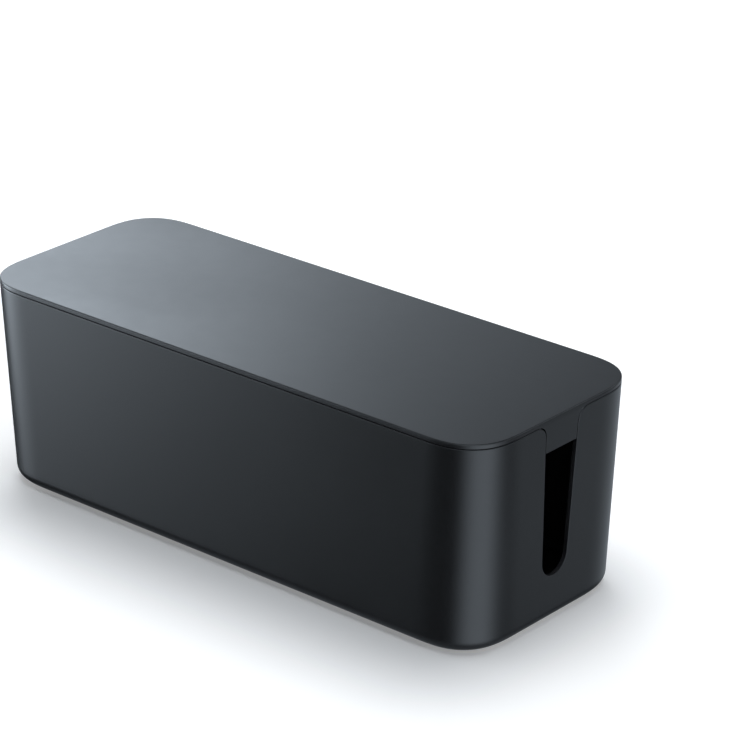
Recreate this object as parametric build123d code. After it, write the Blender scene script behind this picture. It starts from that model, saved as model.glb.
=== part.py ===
from build123d import *
import os

# Cable management box: an open tub with a cable slot in each end, a lift-off lid with a
# locating skirt, and four stick-on rubber feet under the tub.
# Millimetres. The origin is on the surface that the box stands on, under its middle.
# +X runs along the box, +Y across it and +Z up. The lid is modelled closed.

# ---- tub ----
RIM_LENGTH = 406.0  # outside, at the rim
RIM_WIDTH = 154.0
RIM_CORNER_RADIUS = 32.0  # corner in plan, outside, at the rim
BASE_CORNER_RADIUS = 34.7  # the same corner where the walls meet the base
TUB_HEIGHT = 133.4  # from the tub's underside to its rim
END_DRAFT = 5.5  # how far each end wall leans in from rim to base
SIDE_DRAFT = 1.5  # how far each side wall leans in from rim to base
WALL = 3.0
FLOOR = 3.0
BASE_ROUND = 9.0  # outside round between the walls and the base
INNER_BASE_ROUND = 6.0  # inside round between the walls and the floor
RIM_ROUND = 0.6  # eased edges along the rim and the slots

# ---- cable slot, one in the middle of each end wall ----
SLOT_MOUTH_WIDTH = 31.2  # across the straight sides, carried up to the rim
SLOT_FOOT_RADIUS = 11.7  # round lower end
SLOT_FOOT_HEIGHT = 31.0  # lowest point of the slot above the tub's underside
SLOT_SHOULDER_RADIUS = 8.0  # round corner between each side and the rim

# ---- lid ----
LID_PLATE = 3.3  # thickness of the top plate
LID_TOP_ROUND = 0.9
LID_UNDER_ROUND = 0.5
LID_WALL = 2.2  # thickness of the skirt and of the tabs
SKIRT_DEPTH = 18.6  # below the plate
SKIRT_CLEARANCE = 1.4  # between the skirt and the tub's wall
SKIRT_ROUND = 0.6  # eased lower edge of the skirt
TAB_GAP = 0.5  # around each tab, where it closes the top of a slot

# ---- snap beads on the skirt's ends, and the recesses that they sit at ----
BEAD_LENGTH = 14.0
BEAD_HEIGHT = 2.4
BEAD_PROUD = 1.2  # beyond the skirt's end face
BEAD_SPACING = 68.0  # between the two beads of one end
BEAD_DROP = 8.5  # bead centre below the rim
RECESS_MARGIN = 0.6  # the recess is this much larger all round than the bead
RECESS_DEPTH = 0.8  # into the tub's wall

# ---- rubber feet ----
FOOT_RADIUS = 6.0
FOOT_HEIGHT = 2.0
FOOT_PROUD = 1.0  # what shows below the tub: the rest sits in a shallow pocket
FOOT_ROUND = 0.4
FOOT_GAP = 0.2  # between a foot and the side of its pocket
FOOT_INSET_LENGTH = 30.0  # foot centre in from the end of the base
FOOT_INSET_WIDTH = 30.0  # foot centre in from the side of the base

# ---- derived places ----
TUB_BOTTOM = FOOT_PROUD
RIM_Z = TUB_BOTTOM + TUB_HEIGHT
FLOOR_Z = TUB_BOTTOM + FLOOR
SKIRT_BOTTOM = RIM_Z - SKIRT_DEPTH
SKIRT_INSET = WALL + SKIRT_CLEARANCE
BEAD_Z = RIM_Z - BEAD_DROP
CUT_MARGIN = 5.0  # how far cutting tools reach past what they cut
MOUTH_MARGIN = 40.0  # how far the slot's cutter spreads beside its mouth
PICK_TOLERANCE = 0.01  # for faces and corners that are picked by their place


def draft_share(height):
    """Share of the wall's height at which a section lies: 0 at the base, 1 at the rim."""
    return (height - TUB_BOTTOM) / TUB_HEIGHT


def section(height, inset):
    """The tub's outline at a height, moved in from its outside by inset."""
    share = draft_share(height)
    length = RIM_LENGTH - 2 * END_DRAFT * (1 - share) - 2 * inset
    width = RIM_WIDTH - 2 * SIDE_DRAFT * (1 - share) - 2 * inset
    corner = BASE_CORNER_RADIUS + (RIM_CORNER_RADIUS - BASE_CORNER_RADIUS) * share - inset
    return Plane.XY.offset(height) * RectangleRounded(length, width, corner)


def drafted(low, high, inset):
    """A solid with the tub's leaning sides, between two heights."""
    return loft([section(low, inset), section(high, inset)], ruled=True)


def end_face_x(height, inset):
    """Distance of the +X end's wall from the middle at a height, moved in by inset."""
    return RIM_LENGTH / 2 - END_DRAFT * (1 - draft_share(height)) - inset


def slot_shape(gap):
    """The slot's outline in the YZ plane, shrunk by gap, open above the rim."""
    foot_z = TUB_BOTTOM + SLOT_FOOT_HEIGHT + SLOT_FOOT_RADIUS
    foot = Pos(0, foot_z) * Circle(SLOT_FOOT_RADIUS)
    mouth = Line((-SLOT_MOUTH_WIDTH / 2, RIM_Z), (SLOT_MOUTH_WIDTH / 2, RIM_Z))
    funnel = make_hull(foot.edges() + mouth.edges())
    above = Pos(0, RIM_Z + CUT_MARGIN / 2) * Rectangle(SLOT_MOUTH_WIDTH + 2 * MOUTH_MARGIN, CUT_MARGIN)
    outline = funnel + above
    corners = outline.vertices().filter_by_position(Axis.Y, RIM_Z - PICK_TOLERANCE, RIM_Z + PICK_TOLERANCE)
    shoulders = corners.sort_by(lambda corner: abs(corner.X))[:2]
    outline = fillet(shoulders, SLOT_SHOULDER_RADIUS)
    if gap:
        outline = offset(outline, amount=-gap, kind=Kind.INTERSECTION)
    return outline


def slot_prism(gap):
    """The slot's outline carried along the whole box."""
    reach = RIM_LENGTH / 2 + CUT_MARGIN
    return extrude(Plane.YZ * slot_shape(gap), amount=reach, both=True)


def bead_at(side, end, grow, back, proud):
    """A stadium-ended bar on an end wall, from back inside the skirt's face to proud of it."""
    face = end_face_x(BEAD_Z, SKIRT_INSET)
    plane = Plane(
        origin=(end * (face - back), side * BEAD_SPACING / 2, BEAD_Z), x_dir=(0, 1, 0), z_dir=(end, 0, 0)
    )
    bar = SlotOverall(BEAD_LENGTH + 2 * grow, BEAD_HEIGHT + 2 * grow)
    return extrude(plane * bar, amount=back + proud)


def foot_places():
    """Name and centre of each foot."""
    x = end_face_x(TUB_BOTTOM, FOOT_INSET_LENGTH)
    y = RIM_WIDTH / 2 - SIDE_DRAFT - FOOT_INSET_WIDTH
    return {
        "foot_front_left": (-x, -y),
        "foot_front_right": (x, -y),
        "foot_rear_left": (-x, y),
        "foot_rear_right": (x, y),
    }


def make_tub():
    """The tub: leaning walls, rounded base, two cable slots, bead recesses and foot pockets."""
    outside = drafted(TUB_BOTTOM, RIM_Z, 0)
    outside = fillet(outside.faces().sort_by(Axis.Z)[0].edges(), BASE_ROUND)
    inside = drafted(FLOOR_Z, RIM_Z + CUT_MARGIN, WALL)
    inside = fillet(inside.faces().sort_by(Axis.Z)[0].edges(), INNER_BASE_ROUND)
    tub = outside - inside - slot_prism(0)
    rim_faces = tub.faces().filter_by_position(Axis.Z, RIM_Z - PICK_TOLERANCE, RIM_Z + PICK_TOLERANCE)
    tub = fillet(rim_faces.edges(), RIM_ROUND)
    recess_reach = SKIRT_CLEARANCE + RECESS_DEPTH
    for end in (-1, 1):
        for side in (-1, 1):
            tub -= bead_at(side, end, RECESS_MARGIN, 0, recess_reach)
    pocket_depth = FOOT_HEIGHT - FOOT_PROUD
    for x, y in foot_places().values():
        tub -= Pos(x, y, TUB_BOTTOM + pocket_depth / 2) * Cylinder(FOOT_RADIUS + FOOT_GAP, pocket_depth)
    return tub


def make_lid():
    """The lid: top plate, skirt that drops inside the tub, end tabs and snap beads."""
    plate = extrude(section(RIM_Z, 0), amount=LID_PLATE)
    plate = fillet(plate.faces().sort_by(Axis.Z)[-1].edges(), LID_TOP_ROUND)
    plate = fillet(plate.faces().sort_by(Axis.Z)[0].edges(), LID_UNDER_ROUND)
    ring_outside = drafted(SKIRT_BOTTOM, RIM_Z, SKIRT_INSET)
    tabs = drafted(SKIRT_BOTTOM, RIM_Z, 0) & slot_prism(TAB_GAP)
    tab_roots = extrude(section(RIM_Z, 0), amount=LID_UNDER_ROUND) & slot_prism(TAB_GAP)
    hollow = drafted(SKIRT_BOTTOM - CUT_MARGIN, RIM_Z, SKIRT_INSET + LID_WALL)
    tab_hollow = drafted(SKIRT_BOTTOM - CUT_MARGIN, RIM_Z, LID_WALL) & slot_prism(TAB_GAP + LID_WALL)
    skirt = (ring_outside + tabs) - hollow - tab_hollow
    lower_edges = skirt.faces().filter_by(Axis.Z).sort_by(Axis.Z)[0].edges()
    skirt = fillet(lower_edges, SKIRT_ROUND)
    lid = plate + tab_roots + skirt
    for end in (-1, 1):
        for side in (-1, 1):
            bead = bead_at(side, end, 0, LID_WALL / 2, BEAD_PROUD)
            crown = bead.faces().sort_by(Axis.X)[-1 if end > 0 else 0]
            lid += fillet(crown.edges(), BEAD_PROUD / 2)
    return lid


def make_foot(x, y):
    """One round rubber pad, with an eased lower edge, seated in its pocket."""
    pad = Pos(x, y, FOOT_HEIGHT / 2) * Cylinder(FOOT_RADIUS, FOOT_HEIGHT)
    return fillet(pad.faces().sort_by(Axis.Z)[0].edges(), FOOT_ROUND)


def main():
    """Write every piece to its own file."""
    os.makedirs("parts", exist_ok=True)
    pieces = {"box_body": make_tub(), "lid": make_lid()}
    for name, (x, y) in foot_places().items():
        pieces[name] = make_foot(x, y)
    for name, shape in pieces.items():
        export_step(shape, f"parts/{name}.step")
        size = shape.bounding_box().size
        print(name, round(shape.volume), [round(value, 2) for value in size])


main()
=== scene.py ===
"""Dresses the cable management box: an open tub, its lift-off lid and four rubber feet.

Metres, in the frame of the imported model. The origin is on the surface that the box stands on,
under its middle. +X runs along the box, +Y across it and +Z up. The lid is closed at rest.
"""

from __future__ import annotations

import logging
import math
from dataclasses import dataclass
from enum import Enum
from functools import cached_property

import bmesh
import bpy
import numpy as np
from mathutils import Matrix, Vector


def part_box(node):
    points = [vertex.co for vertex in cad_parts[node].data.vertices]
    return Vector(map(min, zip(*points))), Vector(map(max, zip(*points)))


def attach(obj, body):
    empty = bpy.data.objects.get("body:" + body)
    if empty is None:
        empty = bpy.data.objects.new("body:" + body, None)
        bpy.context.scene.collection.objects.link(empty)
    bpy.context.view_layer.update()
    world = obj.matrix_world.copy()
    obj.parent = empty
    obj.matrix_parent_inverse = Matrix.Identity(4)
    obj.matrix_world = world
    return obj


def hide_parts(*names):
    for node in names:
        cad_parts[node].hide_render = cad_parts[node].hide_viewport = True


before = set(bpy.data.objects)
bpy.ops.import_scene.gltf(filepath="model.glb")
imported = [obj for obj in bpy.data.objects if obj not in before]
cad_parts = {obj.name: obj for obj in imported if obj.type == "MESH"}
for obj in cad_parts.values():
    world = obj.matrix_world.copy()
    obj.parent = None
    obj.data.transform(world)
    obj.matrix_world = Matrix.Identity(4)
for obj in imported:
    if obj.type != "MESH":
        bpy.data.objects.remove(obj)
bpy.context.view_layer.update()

MM = 0.001
MERGE_DISTANCE = 0.002 * MM
QUARTER_TURN = math.pi / 2
FULL_TURN = 2 * math.pi
SHARP_ANGLE = math.radians(32.0)
LARGEST_FACE_WEIGHT = 100
WEAR_LAYER = "wear"
# Wear of inner faces, which marks them for painted light: their colour is made lighter.
PAINTED_LIGHT_INSIDE = -1.0
CORNER_COLUMNS = 49
SIDE_COLUMNS = 15
LATHE_COLUMNS = 65
SLOT_FOOT_RISE = 42.7 * MM

Array = np.ndarray
Amount = np.ndarray | float
Piece = bpy.types.Object
Socket = bpy.types.NodeSocket
Number = bpy.types.NodeSocket | float
Triple = tuple[float, float, float]

log = logging.getLogger("cable_box")


class Body(Enum):
    """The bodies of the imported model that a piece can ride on."""

    TUB = "tub"
    LID = "lid"


class Slot(Enum):
    """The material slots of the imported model."""

    TUB_PLASTIC = "tub_plastic"
    LID_PLASTIC = "lid_plastic"
    FOOT_RUBBER = "foot_rubber"


class Join(Enum):
    """How one closed shell changes another."""

    ADD = "UNION"
    CUT = "DIFFERENCE"


# ---- Shells: grids of points, joined into closed meshes ----


def points_at(x: Amount, y: Amount, z: Amount) -> Array:
    """Return the points with these coordinates, spread to one shape."""
    return np.stack(np.broadcast_arrays(x, y, z), axis=-1)


def smooth(share: Array) -> Array:
    """Return a share eased at both ends: its square times three less twice the share."""
    return share**2 * (3 - 2 * share)


def quarter_round(radius: Amount, count: int) -> tuple[Array, Array, Array]:
    """Return a quarter circle's angle, and radius times one less its sine and one less its cosine."""
    angle = np.linspace(0, QUARTER_TURN, count)[:, None]
    return angle, radius * (1 - np.sin(angle)), radius * (1 - np.cos(angle))


def add_object(name: str, data: bpy.types.ID) -> Piece:
    """Return a new object with this data, linked to the scene."""
    item = bpy.data.objects.new(name, data)
    bpy.context.scene.collection.objects.link(item)
    return item


@dataclass(frozen=True)
class Shell:
    """Points, faces between four of them, and a wear value at each point.

    Wear is 0 on plain faces, up to 1 on rubbed edges, and minus one on inner faces, whose colour
    is made lighter there as painted light. Grids that meet repeat the points of their shared
    line, and those are merged when the mesh is made.
    """

    points: Array
    quads: Array
    wear: Array

    @staticmethod
    def of_grid(grid: Array, wear: Amount = 0.0) -> Shell:
        """Make a shell of one grid.

        Args:
            grid: Points, rows by columns by three.
            wear: Wear, in a shape that broadcasts to rows by columns.

        Returns:
            The shell, open along the grid's edges.
        """
        rows, columns = grid.shape[:2]
        index = np.arange(rows * columns).reshape(rows, columns)
        corners = (index[:-1, :-1], index[:-1, 1:], index[1:, 1:], index[1:, :-1])
        quads = np.stack(corners, axis=-1).reshape(-1, 4)
        return Shell(grid.reshape(-1, 3), quads, np.broadcast_to(wear, (rows, columns)).reshape(-1))

    @staticmethod
    def joined(shells: list[Shell]) -> Shell:
        """Return several shells as one."""
        starts = np.cumsum([0, *(len(shell.points) for shell in shells)])
        return Shell(
            np.concatenate([shell.points for shell in shells]),
            np.concatenate([shell.quads + start for shell, start in zip(shells, starts)]),
            np.concatenate([shell.wear for shell in shells]),
        )

    def quartered(self) -> Shell:
        """Mirror this quarter across both middle planes.

        Each copy is the quarter times a sign for x and a sign for y, and a copy that one
        mirror makes has its faces turned round.

        Returns:
            The four copies as one shell.
        """
        copies = []
        for sign_x, sign_y in ((1, 1), (-1, 1), (-1, -1), (1, -1)):
            quads = self.quads if sign_x == sign_y else self.quads[:, ::-1]
            copies.append(Shell(self.points * (sign_x, sign_y, 1), quads, self.wear))
        return Shell.joined(copies)

    def make_object(self, name: str) -> Piece:
        """Make an object at the origin with this shell, closed and facing outwards.

        Args:
            name: Name of the object and its mesh.

        Returns:
            The object, linked to the scene.
        """
        mesh = bpy.data.meshes.new(name)
        mesh.from_pydata(self.points, [], self.quads)
        layer = mesh.attributes.new(WEAR_LAYER, "FLOAT", "POINT")
        layer.data.foreach_set("value", self.wear.astype(np.float32))
        close_up(mesh)
        return add_object(name, mesh)


def close_up(mesh: bpy.types.Mesh) -> None:
    """Merge a mesh's doubled points, drop its slivers, fill its flat ends and face it outwards.

    Args:
        mesh: The mesh that changes.
    """
    work = bmesh.new()
    work.from_mesh(mesh)
    bmesh.ops.remove_doubles(work, verts=work.verts, dist=MERGE_DISTANCE)
    bmesh.ops.dissolve_degenerate(work, edges=work.edges, dist=MERGE_DISTANCE)
    open_edges = [edge for edge in work.edges if edge.is_boundary]
    bmesh.ops.holes_fill(work, edges=open_edges, sides=0)
    bmesh.ops.recalc_face_normals(work, faces=work.faces)
    work.to_mesh(mesh)
    work.free()


def combine(piece: Piece, tools: Shell, join: Join) -> None:
    """Add closed shells to a piece, or cut them out of it, and keep the result as its mesh.

    Args:
        piece: The object that changes.
        tools: The closed shells.
        join: Whether they are added or cut.
    """
    tool = tools.make_object(f"{piece.name}_tool")
    modifier = piece.modifiers.new("combine", "BOOLEAN")
    modifier.operation = join.value
    modifier.solver = "EXACT"
    modifier.object = tool
    graph = bpy.context.evaluated_depsgraph_get()
    combined = bpy.data.meshes.new_from_object(piece.evaluated_get(graph))
    piece.modifiers.clear()
    close_up(combined)
    spent = (piece.data, tool.data)
    piece.data = combined
    bpy.data.objects.remove(tool)
    for mesh in spent:
        bpy.data.meshes.remove(mesh)
    combined.name = piece.name


def shade(piece: Piece) -> None:
    """Shade a piece smooth between its sharp edges, with each large face keeping its own normal.

    Args:
        piece: The piece that changes.
    """
    mesh = piece.data
    mesh.polygons.foreach_set("use_smooth", np.ones(len(mesh.polygons), bool))
    mesh.set_sharp_from_angle(angle=SHARP_ANGLE)
    modifier = piece.modifiers.new("weighted_normal", "WEIGHTED_NORMAL")
    modifier.keep_sharp = True
    modifier.weight = LARGEST_FACE_WEIGHT


def lathe(radii: Array, heights: Array, centre: Vector, wear: Amount = 0.0) -> Shell:
    """Carry a profile round an upright line through centre.

    A point is its radius times the cosine and sine of the angle, from the line.

    Args:
        radii: Distances from the line, row by row, with none at both ends.
        heights: Heights above the centre, row by row.
        centre: A point on the line.
        wear: Wear of the rows.

    Returns:
        The closed shell.
    """
    angle = np.linspace(0, FULL_TURN, LATHE_COLUMNS)
    x = centre.x + radii[:, None] * np.cos(angle)
    y = centre.y + radii[:, None] * np.sin(angle)
    return Shell.of_grid(points_at(x, y, centre.z + heights[:, None]), wear)


# ---- Outlines that the tub and the lid share ----


@dataclass(frozen=True)
class SoftCorner:
    """A corner in plan, of radius one, whose bend grows evenly as it leaves each straight wall.

    Over the entry the direction is the entry's turn times the square of the share of its length.
    From there to the diagonal the bend stays even, and the other half is the mirror image. The
    curve is scaled to cross the diagonal where the circle of radius one does.
    """

    entry: float = math.radians(25.0)
    steps: int = 1200

    def curve(self) -> tuple[Array, Array, Array, Array]:
        """Trace the curve, from the end wall at x = 1 to the side at y = 1.

        Each step moves by its length times minus the sine and the cosine of its direction.

        Returns:
            The direction, the share of the length, and x and y from the circle's centre.
        """
        length = np.linspace(0, self.entry + QUARTER_TURN / 2, self.steps)
        inside = np.minimum(length / (2 * self.entry), 1)
        facing = self.entry * inside**2 + np.maximum(length - 2 * self.entry, 0)
        middle = (facing[1:] + facing[:-1]) / 2
        across = np.concatenate([[0], -np.cumsum(np.sin(middle))]) * length[1]
        along = np.concatenate([[0], np.cumsum(np.cos(middle))]) * length[1]
        sharp = along[-1] - across[-1]
        scale = (1 - math.sqrt(0.5)) / -across[-1]
        x = 1 + across * scale
        y = 1 + (along - sharp) * scale
        share = length / (2 * length[-1])
        halves = ((facing, QUARTER_TURN - facing), (share, 1 - share), (x, y), (y, x))
        return tuple(np.concatenate([first, second[-2::-1]]) for first, second in halves)

    def directions(self, count: int) -> Array:
        """Return the directions of points at even steps of length."""
        facing, share, _, _ = self.curve()
        return np.interp(np.linspace(0, 1, count), share, facing)

    def place(self, azimuth: Array) -> tuple[Array, Array]:
        """Return x and y of the points that face azimuth."""
        facing, _, x, y = self.curve()
        return np.interp(azimuth, facing, x), np.interp(azimuth, facing, y)

    @property
    def set_back(self) -> float:
        """How far beyond the circle's centre the corner starts, for a radius of one."""
        return float(-self.curve()[3][0])


CORNER = SoftCorner()


@dataclass(frozen=True)
class Columns:
    """The columns of one quarter: along the end wall, round the corner, then along the side.

    End is the share of the run along the end wall, 1 from the corner on. Side is the share of
    the run along the side, 0 up to there. Azimuth is where a column faces, 0 on the end wall and
    a quarter turn on the side.
    """

    end: Array
    azimuth: Array
    side: Array

    @staticmethod
    def spread(end: Array) -> Columns:
        """Spread the columns of one quarter.

        Args:
            end: Shares of the run along the end wall.

        Returns:
            Columns at these shares, and at even steps round the corner and along the side.
        """
        corner = CORNER.directions(CORNER_COLUMNS)[1:]
        side = np.linspace(0, 1, SIDE_COLUMNS)[1:]
        return Columns(
            end=np.concatenate([end, np.ones(corner.size + side.size)]),
            azimuth=np.concatenate([0 * end, corner, np.full(side.size, QUARTER_TURN)]),
            side=np.concatenate([np.zeros(end.size + corner.size), side]),
        )


@dataclass(frozen=True)
class Outline:
    """The tub's outside in plan: a rounded rectangle whose sizes change evenly with height."""

    rim_half_length: float
    rim_half_width: float
    bottom: float
    rim: float
    end_lean: float = 5.5 * MM
    side_lean: float = 1.5 * MM
    rim_corner: float = 32.0 * MM
    base_corner: float = 34.7 * MM

    def corner(self, z: Amount) -> tuple[Amount, Amount, Amount]:
        """Find the corner's circle, which changes evenly with the share of the wall above z.

        Args:
            z: Height.

        Returns:
            Its centre's x and y, and its radius.
        """
        above = 1 - (z - self.bottom) / (self.rim - self.bottom)
        radius = self.rim_corner + (self.base_corner - self.rim_corner) * above
        centre_x = self.rim_half_length - self.end_lean * above - radius
        centre_y = self.rim_half_width - self.side_lean * above - radius
        return centre_x, centre_y, radius

    def end_x(self, z: Amount, inset: Amount) -> Amount:
        """Return how far the end wall is from the middle at height z, moved in by inset."""
        centre_x, _, radius = self.corner(z)
        return centre_x + radius - inset

    def run_end(self, z: Amount) -> Amount:
        """Return the y at which the end wall's straight run ends at height z."""
        _, centre_y, radius = self.corner(z)
        return centre_y - CORNER.set_back * radius

    def slope(self, azimuth: Array) -> Array:
        """Find the wall's slope.

        It is how far x, y and the radius of the corner's circle move from base to rim, times the
        azimuth's cosine, its sine and one, over the wall's height.

        Args:
            azimuth: Where the wall faces.

        Returns:
            How far the wall moves out per unit of height.
        """
        top_x, top_y, top_radius = self.corner(self.rim)
        low_x, low_y, low_radius = self.corner(self.bottom)
        move = (top_x - low_x) * np.cos(azimuth) + (top_y - low_y) * np.sin(azimuth)
        return (move + top_radius - low_radius) / (self.rim - self.bottom)

    def place(self, z: Array, inset: Amount, start: Amount, columns: Columns) -> Array:
        """Place points on the outline.

        x is the end of the side's straight run, shortened along the side, plus the soft corner's
        x. y runs from start to the end of the end wall's straight run, plus the soft corner's y.
        Both are then moved in by the inset, against the azimuth.

        Args:
            z: Height, rows by one or rows by columns.
            inset: How far the outline is moved in.
            start: Where the run along the end wall starts.
            columns: The columns of the quarter.

        Returns:
            Points, rows by columns by three.
        """
        centre_x, centre_y, radius = self.corner(z)
        back = CORNER.set_back
        bend_x, bend_y = CORNER.place(columns.azimuth)
        x = (centre_x - back * radius) * (1 - columns.side) + (bend_x + back) * radius
        y = start + (centre_y - back * radius - start) * columns.end + (bend_y + back) * radius
        x = x - inset * np.cos(columns.azimuth)
        y = y - inset * np.sin(columns.azimuth)
        return points_at(x, y, z)

    def base_round(
        self, columns: Columns, floor: float, radius: float, inset: float, count: int
    ) -> tuple[Array, Array]:
        """Place the round between a leaning wall and a flat floor.

        A circle touches both. Its angle runs from straight down to square to the wall. Height is
        the floor plus the radius times one plus the angle's sine. The inset is how far the
        circle lies inside the wall's own line at that height.

        Args:
            columns: The columns of the quarter.
            floor: Height of the flat floor.
            radius: Radius of the round.
            inset: How far the wall is inside the outline.
            count: Number of rows.

        Returns:
            Height and inset, rows by columns.
        """
        slope = self.slope(columns.azimuth)
        turn = np.linspace(0, 1, count)[:, None]
        angle = -QUARTER_TURN + (QUARTER_TURN - np.arctan(slope)) * turn
        z = floor + radius * (1 + np.sin(angle))
        centre = slope * radius - radius * np.sqrt(1 + slope**2)
        return z, inset + slope * (z - floor) - (centre + radius * np.cos(angle))


@dataclass(frozen=True)
class CableSlot:
    """Edge of a cable slot, seen along the box: a round foot, straight sides, round shoulders."""

    foot_centre: float
    rim: float
    foot_radius: float = 11.7 * MM
    mouth_half_width: float = 15.6 * MM
    shoulder_radius: float = 8.0 * MM
    foot_rows: int = 18
    side_rows: int = 12
    shoulder_rows: int = 14

    @property
    def tangent(self) -> float:
        """Angle of the line from the foot's centre square to the straight side.

        The side passes through the mouth's corner and touches the foot's circle, so the angle
        is that of the corner seen from the centre less the arc cosine of radius over distance.
        """
        rise = self.rim - self.foot_centre
        distance = math.hypot(self.mouth_half_width, rise)
        return math.atan2(rise, self.mouth_half_width) - math.acos(self.foot_radius / distance)

    def side_y(self, z: Amount, gap: Amount) -> Amount:
        """Return where the straight side, moved in by gap, is at height z."""
        drop = math.sin(self.tangent) * (z - self.foot_centre)
        return (self.foot_radius - gap - drop) / math.cos(self.tangent)

    @property
    def shoulder_centre(self) -> tuple[float, float]:
        """Centre of the shoulder's circle, which touches the straight side and the rim."""
        z = self.rim - self.shoulder_radius
        return float(self.side_y(z, -self.shoulder_radius)), z

    def edge(self) -> tuple[Array, Array, Array]:
        """Trace the edge from the middle of the foot to the end of the shoulder.

        A point moved along its direction by a distance is on the edge of a wider slot.

        Returns:
            Points and unit directions away from the opening, as y plus z times i, and each
            point's share of the way round the shoulder.
        """
        foot_way = np.exp(1j * np.linspace(-QUARTER_TURN, self.tangent, self.foot_rows))
        foot = 1j * self.foot_centre + self.foot_radius * foot_way
        shoulder_way = np.exp(1j * np.linspace(self.tangent, -QUARTER_TURN, self.shoulder_rows))
        shoulder = complex(*self.shoulder_centre) - self.shoulder_radius * shoulder_way
        side = np.linspace(foot[-1], shoulder[0], self.side_rows)[1:-1]
        side_way = np.full(side.size, foot_way[-1])
        before = np.zeros(foot.size + side.size)
        return (
            np.concatenate([foot, side, shoulder]),
            np.concatenate([foot_way, side_way, shoulder_way]),
            np.concatenate([before, np.linspace(0, 1, self.shoulder_rows)]),
        )

    def tab_half_width(self, z: Amount, gap: Amount) -> Array:
        """Find the half width of a tab that fills the slot with a gap all round.

        Below the shoulder it follows the straight side, and beside the shoulder a circle about
        the shoulder's centre with the gap added to its radius.

        Args:
            z: Height.
            gap: The gap.

        Returns:
            The half width at each height.
        """
        centre_y, centre_z = self.shoulder_centre
        radius = self.shoulder_radius + gap
        from_centre = np.clip(z - centre_z, 0, radius)
        beside = centre_y - np.sqrt(radius**2 - from_centre**2)
        touches = centre_z - radius * math.sin(self.tangent)
        return np.where(z > touches, beside, self.side_y(z, gap))


@dataclass(frozen=True)
class SnapBars:
    """Four bars with round ends, two on each end wall: the snap beads, or their recesses.

    A bar stands proud by so much, and ease is the radius of its front edge. The two of one end
    are spacing apart, and their middles are drop below the rim.
    """

    half_length: float
    half_height: float
    proud: float
    ease: float
    spacing: float = 68.0 * MM
    drop: float = 8.5 * MM
    around: int = 41
    front_rows: int = 5

    def build(self, outline: Outline, inset: float, back: float) -> Shell:
        """Build the closed bars.

        Their outline is a circle of half_height about two centres half_length less half_height
        either side of the middle. Rows carry it from the back to the front, and the last ones
        draw it in along a quarter circle.

        Args:
            outline: The tub's outside.
            inset: How far inside it the wall is that the bars stand on.
            back: How far they reach into that wall.

        Returns:
            The four bars as one shell.
        """
        angle = np.linspace(0, FULL_TURN, self.around)
        middle = np.where(np.cos(angle) >= 0, 1, -1) * (self.half_length - self.half_height)
        _, short, draw_in = quarter_round(self.ease, self.front_rows)
        depth = np.concatenate([[[-back], [0.0]], self.proud - short])
        reach = self.half_height - np.concatenate([[[0.0], [0.0]], draw_in])
        height = outline.rim - self.drop
        bars = []
        for end in (-1, 1):
            for side in (-1, 1):
                x = end * (outline.end_x(height, inset) + depth)
                y = side * self.spacing / 2 + middle + reach * np.cos(angle)
                bars.append(Shell.of_grid(points_at(x, y, height + reach * np.sin(angle))))
        return Shell.joined(bars)


# ---- Finishes ----

# The numbers of the Mix node's colour sockets, whose names it also gives to its other sockets.
MIX_SHARE, MIX_FROM, MIX_TO, MIX_RESULT = 0, 6, 7, 2


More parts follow.
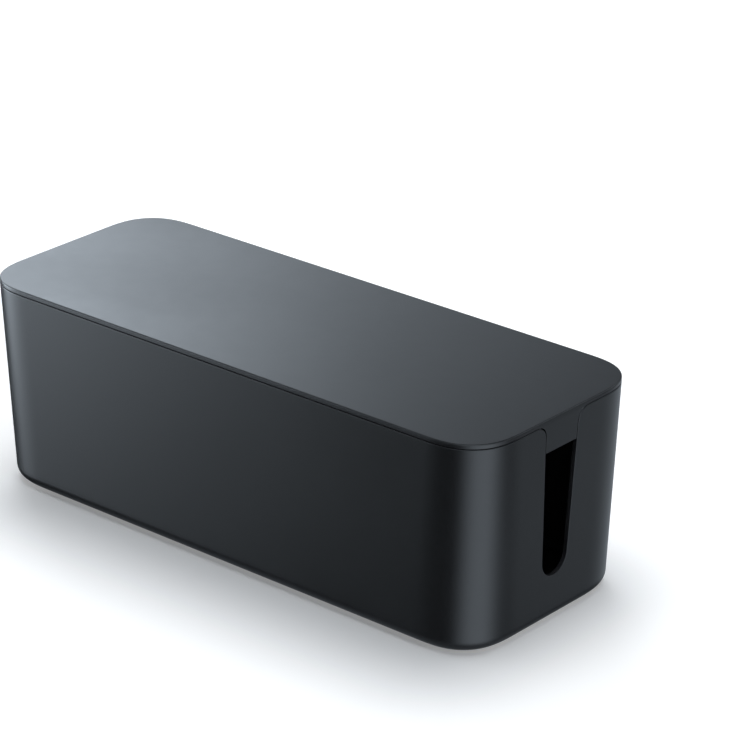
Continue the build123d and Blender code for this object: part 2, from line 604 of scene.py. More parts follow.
class NodeKit:
    """Adds and links nodes in one node tree."""

    def __init__(self, tree: bpy.types.NodeTree) -> None:
        """Keep the tree that nodes are added to."""
        self.tree = tree

    @staticmethod
    def of(owner: bpy.types.Material | bpy.types.World) -> NodeKit:
        owner.use_nodes = True
        owner.node_tree.nodes.clear()
        return NodeKit(owner.node_tree)

    def feed(self, target: Socket, value: Number | tuple) -> None:
        """Link a socket to another one, or set it to a plain value."""
        if isinstance(value, Socket):
            self.tree.links.new(value, target)
        else:
            target.default_value = value

    def add(self, kind: str, inputs: dict | None = None, **settings: object) -> bpy.types.Node:
        """Add a node.

        Args:
            kind: Its type.
            inputs: What feeds its inputs, by their names or numbers.
            **settings: Its properties.

        Returns:
            The node.
        """
        node = self.tree.nodes.new(kind)
        for name, value in settings.items():
            setattr(node, name, value)
        for name, value in (inputs or {}).items():
            self.feed(node.inputs[name], value)
        return node

    def math(self, operation: str, first: Number, second: Number = 0.0) -> Socket:
        """Add a Math node and return its output."""
        return self.add("ShaderNodeMath", {0: first, 1: second}, operation=operation).outputs[0]

    def times(self, first: Number, second: Number) -> Socket:
        """Return the product of two sockets or numbers."""
        return self.math("MULTIPLY", first, second)

    def total(self, *values: Number) -> Socket:
        """Return the sum of two or more sockets or numbers."""
        result = values[0]
        for value in values[1:]:
            result = self.math("ADD", result, value)
        return result

    def vector_math(self, operation: str, first: Socket, second: Triple = (0.0, 0.0, 0.0)) -> Socket:
        """Add a Vector Math node and return its vector, or its number where it gives one."""
        node = self.add("ShaderNodeVectorMath", {0: first, 1: second}, operation=operation)
        return node.outputs["Value" if operation in ("LENGTH", "DOT_PRODUCT") else "Vector"]

    def spread(
        self, value: Socket, low: float, high: float, to_low: float = 0.0, to_high: float = 1.0
    ) -> Socket:
        """Add a smooth Map Range.

        Args:
            value: What is spread.
            low: The value that gives to_low.
            high: The value that gives to_high.
            to_low: The result up to low.
            to_high: The result from high on.

        Returns:
            The result.
        """
        ends = {"From Min": low, "From Max": high, "To Min": to_low, "To Max": to_high}
        inputs = {"Value": value, **ends}
        node = self.add("ShaderNodeMapRange", inputs, interpolation_type="SMOOTHSTEP")
        return node.outputs["Result"]

    def bump(self, height: Socket, distance: float, **under: Socket) -> Socket:
        """Add a Bump node, on top of another one's normal if that is given, and return its normal."""
        inputs = {"Height": height, "Distance": distance, **under}
        return self.add("ShaderNodeBump", inputs).outputs["Normal"]

    def place(self, tree: bpy.types.NodeTree, **inputs: Number) -> bpy.types.NodeOutputs:
        """Add a node group, fed by name, on Object coordinates, and return its outputs."""
        inputs["Vector"] = self.add("ShaderNodeTexCoord").outputs["Object"]
        return self.add("ShaderNodeGroup", inputs, node_tree=tree).outputs


class GroupKit(NodeKit):
    """Adds nodes in a new shader node group, which is given a vector and a number."""

    def __init__(self, name: str, number: str, *results: str) -> None:
        """Make the group and its sockets.

        Args:
            name: Name of the group.
            number: Name of the number that it is given.
            *results: Names of the numbers that it puts out.
        """
        super().__init__(bpy.data.node_groups.new(name, "ShaderNodeTree"))
        face = self.tree.interface
        face.new_socket("Vector", in_out="INPUT", socket_type="NodeSocketVector")
        face.new_socket(number, in_out="INPUT", socket_type="NodeSocketFloat")
        for title in results:
            face.new_socket(title, in_out="OUTPUT", socket_type="NodeSocketFloat")
        self.vector, self.number = self.add("NodeGroupInput").outputs[:2]

    def noise(self, scale: Number, detail: float, roughness: float = 0.5) -> Socket:
        """Add a Noise Texture on the group's vector and return its factor."""
        inputs = {"Vector": self.vector, "Scale": scale, "Detail": detail, "Roughness": roughness}
        return self.add("ShaderNodeTexNoise", inputs).outputs["Fac"]

    def close(self, **results: Socket) -> bpy.types.NodeTree:
        """Feed the group's outputs by name and return its tree."""
        self.add("NodeGroupOutput", results)
        return self.tree


@dataclass(frozen=True)
class Effects:
    """Node groups that the finishes share. Each is built once, with its noises' sizes from here."""

    fine_grain: float = 2.7
    patches: float = 9.0
    broad_rubbing: float = 45.0
    close_rubbing: float = 900.0

    @cached_property
    def grain(self) -> bpy.types.NodeTree:
        """The fine pitted grain of a spark-eroded mould.

        Two noises, the second finer by the factor fine_grain, are averaged into a height. The
        speckle is that height with its middle stretched.
        """
        kit = GroupKit("mould_grain", "Scale", "Height", "Speckle")
        coarse = kit.noise(kit.number, detail=1.5)
        fine = kit.noise(kit.times(kit.number, self.fine_grain), detail=1.0)
        height = kit.times(kit.total(coarse, fine), 0.5)
        return kit.close(Height=height, Speckle=kit.spread(height, low=0.36, high=0.64))

    @cached_property
    def mottle(self) -> bpy.types.NodeTree:
        """Broad clouds, and patches smaller than they are, each with its middle stretched."""
        kit = GroupKit("mottle", "Scale", "Cloud", "Patch")
        cloud = kit.noise(kit.number, detail=0.0)
        cloud = kit.spread(cloud, low=0.3, high=0.7)
        patch = kit.noise(kit.times(kit.number, self.patches), detail=3.0, roughness=0.6)
        patch = kit.spread(patch, low=0.3, high=0.7)
        return kit.close(Cloud=cloud, Patch=patch)

    @cached_property
    def rubbing(self) -> bpy.types.NodeTree:
        """Rubbed edges: the piece's wear value, where above 0, broken up by two noises."""
        kit = GroupKit("rubbed_edge", "Edge", "Rubbed")
        broad = kit.noise(self.broad_rubbing, detail=2.0)
        broad = kit.spread(broad, low=0.35, high=0.65, to_low=0.25)
        close = kit.noise(self.close_rubbing, detail=2.0, roughness=0.6)
        close = kit.spread(close, low=0.4, high=0.62, to_low=0.35)
        edge = kit.math("MAXIMUM", kit.number, 0.0)
        return kit.close(Rubbed=kit.times(kit.times(broad, close), edge))


@dataclass(frozen=True)
class MouldedFinish:
    """A moulded surface: plastic with a fine grain, or rubber with a coarser one."""

    name: str
    colour: Triple
    wear_and_painted_light_colour: Triple
    gloss_low: float
    gloss_high: float
    grain_scale: float
    grain_depth: float
    mottle_scale: float
    wave_depth: float
    rubbed_share: float
    # Share of the lighter colour mixed into inner faces: painted light on the inside.
    painted_inside_light: float = 0.0
    speckle_tint: float = 0.06
    cloud_tint: float = 0.03
    dullness: Triple = (0.45, 0.25, 0.30)
    ior: float = 1.5

    def build(self, effects: Effects) -> bpy.types.Material:
        """Build the material.

        Colour runs from the finish's colour to its rubbed colour by wear, speckle and clouds,
        and is lighter on inner faces, which is painted light on the inside. Roughness runs from
        gloss_low to gloss_high by the dullness of clouds, patches and speckle. Two bumps, one for
        the slow wave of the moulding and one for the grain, give the normal.

        Args:
            effects: The node groups.

        Returns:
            The material.
        """
        material = bpy.data.materials.new(self.name)
        kit = NodeKit.of(material)
        edge = kit.add("ShaderNodeAttribute", attribute_name=WEAR_LAYER).outputs["Fac"]
        grain = kit.place(effects.grain, Scale=self.grain_scale)
        mottle = kit.place(effects.mottle, Scale=self.mottle_scale)
        rubbed = kit.place(effects.rubbing, Edge=edge)["Rubbed"]
        # Painted light: inner faces are mixed towards the lighter colour.
        inside = kit.math("MAXIMUM", kit.times(edge, self.painted_inside_light / PAINTED_LIGHT_INSIDE), 0.0)
        wear_and_painted_light = kit.total(
            kit.times(grain["Speckle"], self.speckle_tint),
            kit.times(rubbed, self.rubbed_share),
            kit.times(mottle["Cloud"], self.cloud_tint),
            inside,
        )
        marks = (mottle["Cloud"], mottle["Patch"], grain["Speckle"])
        duller = kit.total(*map(kit.times, marks, self.dullness))
        first, last = (*self.colour, 1.0), (*self.wear_and_painted_light_colour, 1.0)
        colours = {MIX_SHARE: wear_and_painted_light, MIX_FROM: first, MIX_TO: last}
        wave = kit.bump(mottle["Cloud"], self.wave_depth)
        inputs = {
            "Base Color": kit.add("ShaderNodeMix", colours, data_type="RGBA").outputs[MIX_RESULT],
            "Roughness": kit.spread(duller, 0.0, 1.0, self.gloss_low, self.gloss_high),
            "Normal": kit.bump(grain["Height"], self.grain_depth, Normal=wave),
            "IOR": self.ior,
        }
        shader = kit.add("ShaderNodeBsdfPrincipled", inputs)
        kit.add("ShaderNodeOutputMaterial", {"Surface": shader.outputs["BSDF"]})
        return material


SATIN_CHARCOAL = MouldedFinish(
    name="satin_charcoal_plastic",
    colour=(0.0062, 0.0066, 0.0076),
    wear_and_painted_light_colour=(0.050, 0.053, 0.060),
    gloss_low=0.29,
    gloss_high=0.34,
    grain_scale=1500.0,
    grain_depth=0.012 * MM,
    mottle_scale=9.0,
    wave_depth=0.03 * MM,
    rubbed_share=0.30,
    # Painted light on the inside: the share of the lighter colour on inner faces.
    painted_inside_light=0.6,
)

BLACK_RUBBER = MouldedFinish(
    name="black_rubber",
    colour=(0.012, 0.012, 0.012),
    wear_and_painted_light_colour=(0.060, 0.058, 0.055),
    gloss_low=0.62,
    gloss_high=0.85,
    grain_scale=2200.0,
    grain_depth=0.03 * MM,
    mottle_scale=60.0,
    wave_depth=0.05 * MM,
    rubbed_share=0.5,
)


def dress(piece: Piece, material: bpy.types.Material, body: Body, slot: Slot, *nodes: str) -> None:
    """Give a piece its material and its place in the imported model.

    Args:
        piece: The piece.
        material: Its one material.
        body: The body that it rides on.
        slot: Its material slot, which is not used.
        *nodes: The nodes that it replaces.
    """
    piece.data.materials.append(material)
    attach(piece, body.value)
    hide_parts(*nodes)


# ---- The pieces ----


@dataclass
class Foot:
    """One round rubber pad in its pocket."""

    node: str
    ease: float = 0.4 * MM
    ease_rows: int = 6
    dish_share: float = 0.72
    dish_depth: float = 0.15 * MM
    dish_wear: float = 0.6
    edge_wear: float = 0.8

    @property
    def centre(self) -> Vector:
        """Middle of the pad's underside."""
        low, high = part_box(self.node)
        return Vector(((low.x + high.x) / 2, (low.y + high.y) / 2, low.z))

    def build(self) -> Piece:
        """Build the pad: a lathed profile with an eased edge and a shallow dish below.

        Returns:
            The pad's object.
        """
        low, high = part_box(self.node)
        radius = (high.x - low.x) / 2
        dish = self.dish_share * radius
        turn, short, rise = (rows[:, 0] for rows in quarter_round(self.ease, self.ease_rows))
        radii = [[0.0, dish - self.dish_depth, dish], radius - short, [radius, 0.0]]
        heights = [[self.dish_depth, self.dish_depth, 0.0], rise, [high.z - low.z] * 2]
        wear = [[0.0, 0.0, self.dish_wear], np.sin(2 * turn) * self.edge_wear, [0.0, 0.0]]
        profile = (np.concatenate(radii), np.concatenate(heights))
        pad = lathe(*profile, self.centre, np.concatenate(wear)[:, None])
        piece = pad.make_object(f"{self.node}_pad")
        shade(piece)
        return piece

    def dress(self, piece: Piece, rubber: bpy.types.Material) -> None:
        """Dress the pad in its rubber."""
        dress(piece, rubber, Body.TUB, Slot.FOOT_RUBBER, self.node)


@dataclass
class Tub:
    """The open box: leaning walls, a rounded base, and a cable slot in each end."""

    outline: Outline
    slot: CableSlot
    feet: list[Foot]
    wall: float = 3.0 * MM
    floor: float = 3.0 * MM
    base_round: float = 9.0 * MM
    inner_round: float = 6.0 * MM
    rim_round: float = 0.6 * MM
    slot_round: float = 0.3 * MM
    recesses: SnapBars = SnapBars(7.6 * MM, 1.8 * MM, proud=0.8 * MM, ease=0.2 * MM)
    pocket_radius: float = 6.2 * MM
    pocket_depth: float = 1.0 * MM
    end_columns: int = 14
    end_crowding: float = 1.3
    round_rows: int = 10
    low_rows: int = 6
    edge_rows: int = 6
    edge_wear: float = 1.2

    def columns(self) -> Columns:
        """Return the columns of the walls, closer together beside the slot."""
        return Columns.spread(np.linspace(0, 1, self.end_columns) ** self.end_crowding)

    def eased_edge(self) -> tuple[Array, Array, Array]:
        """Ease the slot's edge, by a radius that grows smoothly round the shoulder to the rim's.

        Returns:
            The edge's points, their directions and their radii.
        """
        edge, way, turned = self.slot.edge()
        return edge, way, self.slot_round + (self.rim_round - self.slot_round) * smooth(turned)

    def wall_grid(self, floor: float, radius: float, inset: float) -> Array:
        """Place one side of the wall, from the flat floor up to the edge of slot and rim.

        The first rows are the round at the floor. Rows above run level from the middle plane,
        and from the slot's edge where there is one, to the middle of the side.

        Args:
            floor: Height of the flat floor.
            radius: Radius of the round at it.
            inset: How far the wall is inside the outline.

        Returns:
            Points, rows by columns by three.
        """
        columns = self.columns()
        round_z, round_inset = self.outline.base_round(columns, floor, radius, inset, self.round_rows)
        edge, way, ease = self.eased_edge()
        edge = edge + way * ease
        low = np.linspace(floor + radius, edge[0].imag, self.low_rows + 1)[1:-1]
        level = np.concatenate([low, edge.imag])[:, None]
        start = np.concatenate([0 * low, edge.real])[:, None]
        rounded = self.outline.place(round_z, round_inset, 0.0, columns)
        return np.concatenate([rounded, self.outline.place(level, inset, start, columns)])

    def edge_strip(self) -> tuple[Array, Array]:
        """Place the eased edge along slot and rim.

        Across it, a quarter circle leaves the outer wall, a flat land crosses the wall and a
        second quarter circle meets the inner wall.

        Returns:
            Points, rows by columns by three, and their wear, rows by one.
        """
        edge, way, ease = self.eased_edge()
        turn, short, fall = quarter_round(ease, self.edge_rows)
        grow = np.concatenate([short, short[::-1]])
        depth = np.concatenate([fall, self.wall - fall[::-1]])
        side = edge + way * grow
        beside = points_at(self.outline.end_x(side.imag, depth), side.real, side.imag)
        level = self.outline.rim - grow[:, -1:]
        top = self.outline.place(level, depth[:, -1:], edge[-1].real, self.columns())
        wear = np.sin(np.concatenate([turn, turn[::-1]])) * self.edge_wear
        return np.concatenate([beside, top[:, 1:]], axis=1), np.clip(wear, 0, 1)

    def cutters(self) -> Shell:
        """Build the recesses for the lid's beads and the pockets for the feet.

        Returns:
            The closed cutters as one shell.
        """
        tools = [self.recesses.build(self.outline, self.wall, back=self.wall)]
        radii = np.array([0.0, 1.0, 1.0, 0.0]) * self.pocket_radius
        heights = np.array([-1.0, -1.0, 1.0, 1.0]) * self.pocket_depth
        for foot in self.feet:
            x, y, _ = foot.centre
            tools.append(lathe(radii, heights, Vector((x, y, self.outline.bottom))))
        return Shell.joined(tools)

    def build(self) -> Piece:
        """Build the tub: outer wall, inner wall and the edge between, less the cutters.

        Returns:
            The tub's object.
        """
        bottom = self.outline.bottom
        outer = self.wall_grid(bottom, self.base_round, 0.0)
        inner = self.wall_grid(bottom + self.floor, self.inner_round, self.wall)
        # The inner wall carries the mark for the painted light on the inside.
        grids = ((outer, 0.0), (inner, PAINTED_LIGHT_INSIDE), self.edge_strip())
        quarter = Shell.joined([Shell.of_grid(*grid) for grid in grids])
        piece = quarter.quartered().make_object("tub_moulding")
        combine(piece, self.cutters(), Join.CUT)
        shade(piece)
        return piece

    def dress(self, piece: Piece, plastic: bpy.types.Material) -> None:
        """Dress the tub in its plastic."""
        dress(piece, plastic, Body.TUB, Slot.TUB_PLASTIC, "box_body")


@dataclass
class Lid:
    """The lift-off lid: a flat plate, a skirt inside the rim, and a tab that closes each slot."""

    outline: Outline
    slot: CableSlot
    top: float
    wall: float = 2.2 * MM
    skirt_depth: float = 18.6 * MM
    skirt_inset: float = 4.4 * MM
    top_round: float = 0.9 * MM
    groove_height: float = 0.6 * MM
    groove_depth: float = 1.2 * MM
    groove_start: float = 1.5 * MM
    lip_round: float = 0.12 * MM
    foot_round: float = 0.6 * MM
    tab_gap: float = 0.7 * MM
    tab_corner: float = 0.3 * MM
    least_corner: float = 0.05 * MM
    pocket_corner: float = 0.4 * MM
    tab_root: float = 0.8 * MM
    beads: SnapBars = SnapBars(7.0 * MM, 1.2 * MM, proud=1.2 * MM, ease=0.6 * MM)
    face_steps: int = 8
    other_steps: tuple[int, int, int, int] = (4, 5, 5, 9)
    top_rows: int = 7
    lip_rows: int = 4
    flare_rows: int = 12
    down_rows: int = 5
    foot_rows: int = 5

    def shares(self) -> tuple[Array, ...]:
        """Return even steps along the end's parts: the tab's face, corner and side, root and run."""
        face = np.linspace(0, 1, self.face_steps + 1)
        return (face, *(np.linspace(0, 1, steps + 1)[1:] for steps in self.other_steps))

    def hat(self, z: Array, inset: Array, corner: Array) -> Array:
        """Place the outline of skirt and tab at some heights.

        From the middle plane it runs along the tab's face, round the tab's corner about its
        centre tip, back along its side, round an inner corner, the root, about its centre bay to
        the skirt's end, and then as the tub's outline does. Its parts are x plus y times i. The
        inset shifts each straight part and adds to the root's radius.

        Args:
            z: Heights, rows by one.
            inset: How far the outline is moved in, rows by one.
            corner: Radius of the tab's corner, rows by one.

        Returns:
            Points, rows by columns by three.
        """
        face_x = self.outline.end_x(z, inset)
        skirt_x = self.outline.end_x(z, self.skirt_inset + inset)
        half = 1j * self.slot.tab_half_width(z, self.tab_gap + inset)
        run_end = 1j * self.outline.run_end(z)
        root = self.tab_root + inset
        tip = face_x + half - corner * (1 + 1j)
        bay = skirt_x + half + root * (1 + 1j)
        face, turn, back, inner, run = self.shares()
        parts = [
            face_x + (half - 1j * corner) * face,
            tip + corner * np.exp(1j * QUARTER_TURN * turn),
            tip + 1j * corner + (bay - 1j * root - tip - 1j * corner) * back,
            bay + root * np.exp(-1j * QUARTER_TURN * (1 + inner)),
            bay - root + (skirt_x + run_end - bay + root) * run,
        ]
        plan = np.concatenate(parts, axis=1)
        end = points_at(plan.real, plan.imag, z)
        rest = Columns.spread(np.ones(1))
        around = self.outline.place(z, self.skirt_inset + inset, 0.0, rest)
        return np.concatenate([end, around[:, 1:]], axis=1)

    def plate_columns(self) -> tuple[Columns, Array]:
        """Spread the plate's columns, which answer the skirt's one for one.

        The groove is the shadow line between plate and rim. Along the tab's face there is none,
        because face and tab are one surface. Beside the tab it comes in smoothly.

        Returns:
            The columns, and each one's groove as a share of its full size.
        """
        half = float(self.slot.tab_half_width(self.outline.rim, self.tab_gap))
        shoulder = self.slot.shoulder_centre[0]
        run_end = self.outline.run_end(self.outline.rim)
        past = shoulder + self.groove_start
        face, corner, side, root, run = self.shares()
        y = [
            half * face,
            half + 0 * corner,
            half + (shoulder - half) * side,
            shoulder + (past - shoulder) * root,
            past + (run_end - past) * run,
        ]
        columns = Columns.spread(np.concatenate(y) / run_end)
        groove = np.ones(columns.end.size)
        tab = face.size + corner.size
        groove[:tab] = 0
        groove[tab : tab + side.size] = smooth(side)
        return columns, groove

    def plate(self) -> tuple[Array, Array]:
        """Place the plate.

        Rows run from its top loop over its rounded edge, down its side, round its lip and
        through the groove under it to the rim's height.

        Returns:
            Points, rows by columns by three, and their wear, rows by one.
        """
        columns, groove = self.plate_columns()
        rim = self.outline.rim
        over, upper_inset, upper_drop = quarter_round(self.top_round, self.top_rows)
        _, lip_rise, lip_inset = quarter_round(self.lip_round, self.lip_rows)
        lower_inset = np.concatenate([lip_inset, [[self.groove_depth]] * 2])
        lower_rise = np.concatenate([self.groove_height + lip_rise, [[self.groove_height], [0.0]]])
        inset = np.concatenate([upper_inset + 0 * groove, lower_inset * groove])
        height = np.concatenate([self.top - upper_drop + 0 * groove, rim + lower_rise * groove])
        points = self.outline.place(np.full_like(height, rim), inset, 0.0, columns)
        points[..., 2] = height
        return points, np.concatenate([np.sin(2 * over), 0 * lower_rise])

    def skirt(self) -> tuple[Array, Array]:
        """Place the skirt.

        Rows run down its outside, round its foot and up the inside at the same heights. The
        first ones lie closer, where the tab's side follows the slot's shoulder, and there the
        tab's corner comes in smoothly.

        Returns:
            Points, rows by columns by three, and their wear, rows by one.
        """
        rim = self.outline.rim
        centre_z = self.slot.shoulder_centre[1]
        radius = self.slot.shoulder_radius + self.tab_gap
        highest = math.asin((rim - centre_z) / radius)
        flare = centre_z + radius * np.sin(np.linspace(highest, -self.slot.tangent, self.flare_rows))
        bottom = rim - self.skirt_depth
        down = np.linspace(flare[-1], bottom + self.foot_round, self.down_rows)[1:]
        outer_z = np.concatenate([flare, down])[:, None]
        eased = smooth(np.clip((rim - outer_z) / (rim - flare[-1]), 0, 1))
        turn, rise, foot_inset = (rows[1:] for rows in quarter_round(self.foot_round, self.foot_rows))
        foot_corner = np.maximum(self.tab_corner - foot_inset, self.least_corner)
        z = np.concatenate([outer_z, bottom + rise])
        inset = np.concatenate([0 * outer_z, foot_inset])
        wear = np.concatenate([0 * outer_z, np.sin(2 * turn)])
        corner = [self.tab_corner * eased, foot_corner, np.full_like(z, self.pocket_corner)]
        points = self.hat(
            np.concatenate([z, z[::-1]]),
            np.concatenate([inset, self.wall - inset[::-1]]),
            np.concatenate(corner),
        )
        return points, np.clip(np.concatenate([wear, wear[::-1]]), 0, 1)

    def build(self) -> Piece:
        """Build the lid: plate and skirt in one grid, with the beads added.

        Returns:
            The lid's object.
        """
        grid, wear = (np.concatenate(parts) for parts in zip(self.plate(), self.skirt()))
        piece = Shell.of_grid(grid, wear).quartered().make_object("lid_moulding")
        beads = self.beads.build(self.outline, self.skirt_inset, back=self.wall / 2)
        combine(piece, beads, Join.ADD)
        shade(piece)
        return piece

    def dress(self, piece: Piece, plastic: bpy.types.Material) -> None:
        """Dress the lid in its plastic."""
        dress(piece, plastic, Body.LID, Slot.LID_PLASTIC, "lid")


# ---- The studio ----


@dataclass(frozen=True)
class Softbox:
    """A soft lamp that points at a spot and isn't seen itself, nor in reflections."""

    name: str
    place: Triple
    aim: Triple
    width: float
    height: float
    watts: float

    def build(self) -> None:
        """Add the lamp, turned to its aim."""
        lamp = bpy.data.lights.new(self.name, "AREA")
        lamp.shape = "RECTANGLE"
        lamp.size = self.width
        lamp.size_y = self.height
        lamp.energy = self.watts
        holder = add_object(self.name, lamp)
        holder.location = self.place
        aim = Vector(self.aim) - Vector(self.place)
        holder.rotation_euler = aim.to_track_quat("-Z", "Y").to_euler()
        holder.visible_camera = False
        holder.visible_glossy = False


@dataclass(frozen=True)
class Glow:
    """A soft bright patch on the reflection tent, by direction from its middle, in degrees.

    Azimuth runs from -Y towards +X. The patch fades out at its half width and half height, and
    keeps its full strength over the core's share of them.
    """

    azimuth: float
    elevation: float
    width: float
    height: float
    strength: float
    core: float = 0.12

    def brightness(self, kit: NodeKit, direction: Socket) -> Socket:
        """Add the patch's nodes: the strength times a fade by each of two angles.

        The sideways angle is the arc tangent of the direction's part along the patch's level
        axis over its part towards the patch, and the upward angle is the arc sine of its height
        less the patch's elevation.

        Args:
            direction: The direction from the tent's middle.

        Returns:
            The patch's brightness.
        """
        azimuth = math.radians(self.azimuth)
        toward = (math.sin(azimuth), -math.cos(azimuth), 0.0)
        sideways = (math.cos(azimuth), math.sin(azimuth), 0.0)
        axes = (sideways, toward, (0.0, 0.0, 1.0))
        beside, ahead, up = (kit.vector_math("DOT_PRODUCT", direction, axis) for axis in axes)
        across = kit.math("ARCTAN2", beside, ahead)
        raised = kit.math("SUBTRACT", kit.math("ARCSINE", up), math.radians(self.elevation))
        patch = self.strength
        for angle, size in ((across, self.width), (raised, self.height)):
            half = math.radians(size)
            fade = kit.spread(kit.math("ABSOLUTE", angle), half * self.core, half, 1.0, 0.0)
            patch = kit.times(patch, fade)
        return patch


@dataclass(frozen=True)
class PaintedFloorLight:
    """Painted light on the seen floor, which changes with the distance from a rectangle on it.

    Half is the rectangle's half sizes. The brightness is first up to start and last from stop.
    """

    middle: tuple[float, float]
    half: tuple[float, float]
    start: float
    stop: float
    first: float
    last: float

    def brightness(self, kit: NodeKit, place: Socket) -> Socket:
        """Add the nodes of this painted floor light.

        The distance is the length of what is left of x and y, both taken from the middle and
        made positive, once the half sizes are taken off. Its level lines are rounded rectangles.

        Args:
            place: The place on the floor.

        Returns:
            The painted light there.
        """
        beside = kit.vector_math("ABSOLUTE", kit.vector_math("SUBTRACT", place, (*self.middle, 0.0)))
        left = kit.vector_math("MAXIMUM", kit.vector_math("SUBTRACT", beside, (*self.half, 0.0)))
        distance = kit.vector_math("LENGTH", left)
        return kit.spread(distance, self.start, self.stop, self.first, self.last)


# Painted shadow: round this rectangle the seen floor gets less painted light, so it is darker.
PAINTED_SHADOW_SPOT = {"middle": (0.015, -0.020), "half": (0.155, 0.056)}


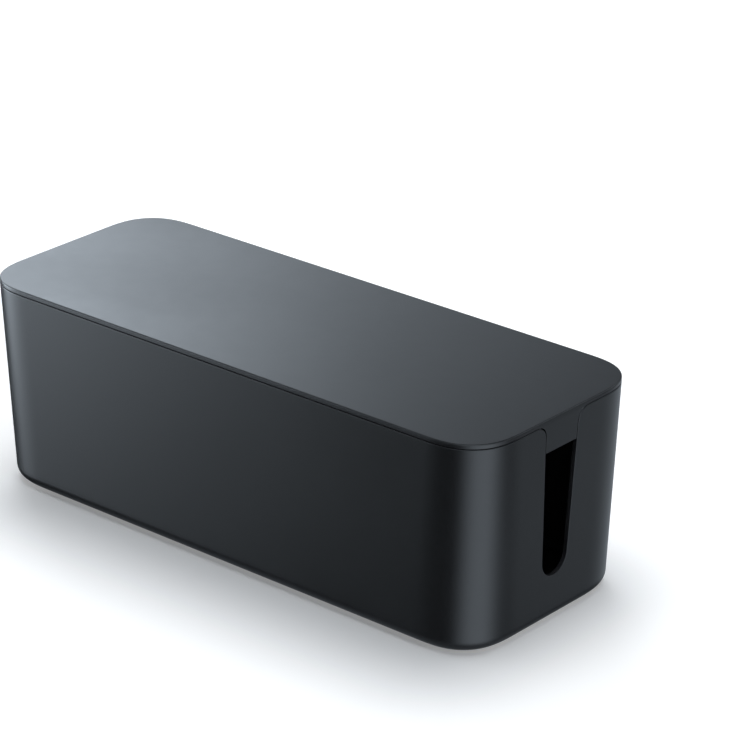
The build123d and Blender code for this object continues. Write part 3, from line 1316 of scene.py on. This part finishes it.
@dataclass
class Studio:
    """Camera, floor, lamps, backdrop and the tent that the glossy plastic reflects."""

    camera_place: Triple = (1.2790, -1.4129, 0.9386)
    camera_turn: Triple = (66.43, 0.0, 40.91)
    lens: float = 165.94
    floor_size: float = 12.0
    floor_lines: int = 5
    floor_shade: Triple = (0.76, 0.79, 0.82)
    # Painted light on the seen floor: a painted shadow round the box fading to white, and painted
    # light under the base.
    painted_floor_lights: tuple[PaintedFloorLight, ...] = (
        PaintedFloorLight(**PAINTED_SHADOW_SPOT, start=0.0, stop=0.10, first=0.03, last=0.36),
        PaintedFloorLight(**PAINTED_SHADOW_SPOT, start=0.20, stop=1.00, first=0.0, last=0.60),
        # Painted light under the round of the base, filling its contact shadow.
        PaintedFloorLight(middle=(0.0, 0.0), half=(0.163, 0.041), start=0.028, stop=0.036, first=0.19, last=0.0),
    )
    fill: float = 0.2
    tent_radius: float = 1.5
    tent_rows: int = 25
    tent_columns: int = 49
    tent_colour: Triple = (0.80, 0.90, 1.0)
    tent_base: float = 0.03
    tent_fade: tuple[float, float] = (-65.0, -35.0)
    floor_fade: tuple[float, float] = (-50.0, -36.0)
    floor_glow: float = 0.18
    lamps: tuple[Softbox, ...] = (
        Softbox("overhead", (0.0, 0.1, 1.9), (0.0, 0.0, 0.0), 2.4, 2.0, watts=34.0),
        Softbox("back_left", (-1.5, 1.3, 1.3), (0.0, 0.0, 0.05), 1.2, 1.2, watts=14.0),
        Softbox("right", (1.7, -0.4, 0.9), (0.0, 0.0, 0.05), 0.9, 1.2, watts=6.0),
    )
    glows: tuple[Glow, ...] = (
        Glow(azimuth=250.2, elevation=29.0, width=33.8, height=12.0, strength=7.1),
        Glow(azimuth=70.0, elevation=-12.9, width=55.5, height=80.0, strength=2.2),
        Glow(azimuth=-70.0, elevation=2.6, width=16.0, height=22.7, strength=12.0),
        Glow(azimuth=172.6, elevation=-20.0, width=66.7, height=20.0, strength=0.7),
        Glow(azimuth=37.0, elevation=60.0, width=79.7, height=45.0, strength=1.2),
        Glow(azimuth=-57.5, elevation=7.1, width=27.5, height=42.2, strength=4.4),
        Glow(azimuth=229.0, elevation=20.3, width=36.5, height=20.0, strength=1.2),
        Glow(azimuth=148.0, elevation=28.0, width=50.0, height=22.0, strength=1.3),
    )

    def build_camera(self) -> None:
        """Build the camera and make it the scene's."""
        lens = bpy.data.cameras.new("camera")
        lens.lens = self.lens
        camera = add_object("camera", lens)
        camera.location = self.camera_place
        camera.rotation_euler = [math.radians(angle) for angle in self.camera_turn]
        bpy.context.scene.camera = camera

    @staticmethod
    def seen_rays(kit: NodeKit) -> Socket:
        """Return 1 for camera, glossy and transmission rays, which show the white background."""
        rays = kit.add("ShaderNodeLightPath").outputs
        either = kit.math("MAXIMUM", rays["Is Camera Ray"], rays["Is Glossy Ray"])
        return kit.math("MAXIMUM", either, rays["Is Transmission Ray"])

    def build_world(self) -> None:
        """Build the world: white where it is seen, and a soft grey fill for everything else."""
        world = bpy.data.worlds.new("studio")
        kit = NodeKit.of(world)
        strength = kit.spread(self.seen_rays(kit), 0.0, 1.0, self.fill, 1.0)
        white = {"Color": (1.0, 1.0, 1.0, 1.0), "Strength": strength}
        backdrop = kit.add("ShaderNodeBackground", white)
        kit.add("ShaderNodeOutputWorld", {"Surface": backdrop.outputs["Background"]})
        bpy.context.scene.world = world

    def build_floor(self) -> None:
        """Build the pale floor, which keeps the object's shadow and gets painted light when seen.

        The first two painted floor lights leave a painted shadow round the box and grow smoothly
        to white away from it. The last one is painted light under the round of the base, standing
        for the light that a bright floor throws there.
        """
        steps = np.linspace(-self.floor_size, self.floor_size, self.floor_lines)
        grid = Shell.of_grid(points_at(steps, steps[:, None], 0.0))
        mesh = bpy.data.meshes.new("floor")
        mesh.from_pydata(grid.points, [], grid.quads)
        floor = add_object("floor", mesh)
        material = bpy.data.materials.new("pale_floor")
        kit = NodeKit.of(material)
        place = kit.add("ShaderNodeTexCoord").outputs["Object"]
        # Painted light on the seen floor, shaped round the box.
        bright = kit.total(*(item.brightness(kit, place) for item in self.painted_floor_lights))
        matte = kit.add("ShaderNodeBsdfDiffuse", {"Color": (*self.floor_shade, 1.0)})
        # The painted light is emission, seen only by camera, glossy and transmission rays.
        lift = kit.add("ShaderNodeEmission", {"Strength": kit.times(self.seen_rays(kit), bright)})
        both = kit.add("ShaderNodeAddShader", {0: matte.outputs["BSDF"], 1: lift.outputs["Emission"]})
        kit.add("ShaderNodeOutputMaterial", {"Surface": both.outputs["Shader"]})
        mesh.materials.append(material)
        floor.visible_glossy = False

    def build_tent(self) -> None:
        """Build the tent: a large ball round the set, seen only in reflections.

        Its points are the radius times the sines and cosines of two angles. The glows fade out
        towards its lowest point, between the two elevations of the fade, and a dim even glow
        stands for the pale floor there.
        """
        latitude = np.linspace(-QUARTER_TURN, QUARTER_TURN, self.tent_rows)[:, None]
        longitude = np.linspace(0, FULL_TURN, self.tent_columns)
        level = self.tent_radius * np.cos(latitude)
        height = self.tent_radius * np.sin(latitude)
        ball = points_at(level * np.cos(longitude), level * np.sin(longitude), height)
        tent = Shell.of_grid(ball).make_object("reflection_tent")
        material = bpy.data.materials.new("tent_cloth")
        kit = NodeKit.of(material)
        place = kit.add("ShaderNodeTexCoord").outputs["Object"]
        direction = kit.vector_math("NORMALIZE", place)
        up = kit.vector_math("DOT_PRODUCT", direction, (0.0, 0.0, 1.0))
        light = kit.total(*(glow.brightness(kit, direction) for glow in self.glows))
        low, high = np.sin(np.radians(self.tent_fade))
        light = kit.times(light, kit.spread(up, low, high, 0.0, 1.0))
        low, high = np.sin(np.radians(self.floor_fade))
        below = kit.spread(up, low, high, self.floor_glow, 0.0)
        strength = kit.total(light, below, self.tent_base)
        emission = {"Color": (*self.tent_colour, 1.0), "Strength": strength}
        cloth = kit.add("ShaderNodeEmission", emission)
        kit.add("ShaderNodeOutputMaterial", {"Surface": cloth.outputs["Emission"]})
        tent.data.materials.append(material)
        tent.visible_camera = False
        tent.visible_diffuse = False
        tent.visible_transmission = False
        tent.visible_shadow = False

    def build(self) -> None:
        """Build the whole studio and set how the picture is shown."""
        self.build_camera()
        self.build_world()
        self.build_floor()
        self.build_tent()
        for lamp in self.lamps:
            lamp.build()
        bpy.context.scene.view_settings.view_transform = "Standard"


def report(piece: Piece) -> None:
    """Log a piece's name, size and number of faces.

    Args:
        piece: The finished piece.
    """
    corners = np.array([corner[:] for corner in piece.bound_box])
    size = np.round(np.ptp(corners, axis=0) / MM, 2)
    log.info("%s: %s mm, %d faces", piece.name, size, len(piece.data.polygons))


def main() -> None:
    """Build the studio and every piece in order."""
    logging.basicConfig(level=logging.INFO, format="%(name)s %(message)s")
    Studio().build()
    effects = Effects()
    plastic = SATIN_CHARCOAL.build(effects)
    rubber = BLACK_RUBBER.build(effects)
    low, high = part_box("box_body")
    outline = Outline(high.x, high.y, low.z, high.z)
    slot = CableSlot(foot_centre=outline.bottom + SLOT_FOOT_RISE, rim=outline.rim)
    feet = [Foot(name) for name in sorted(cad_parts) if name.startswith("foot_")]
    tub = Tub(outline, slot, feet)
    lid = Lid(outline, slot, top=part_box("lid")[1].z)
    for part, material in [(tub, plastic), (lid, plastic), *((foot, rubber) for foot in feet)]:
        piece = part.build()
        part.dress(piece, material)
        report(piece)


if __name__ == "__main__":
    main()
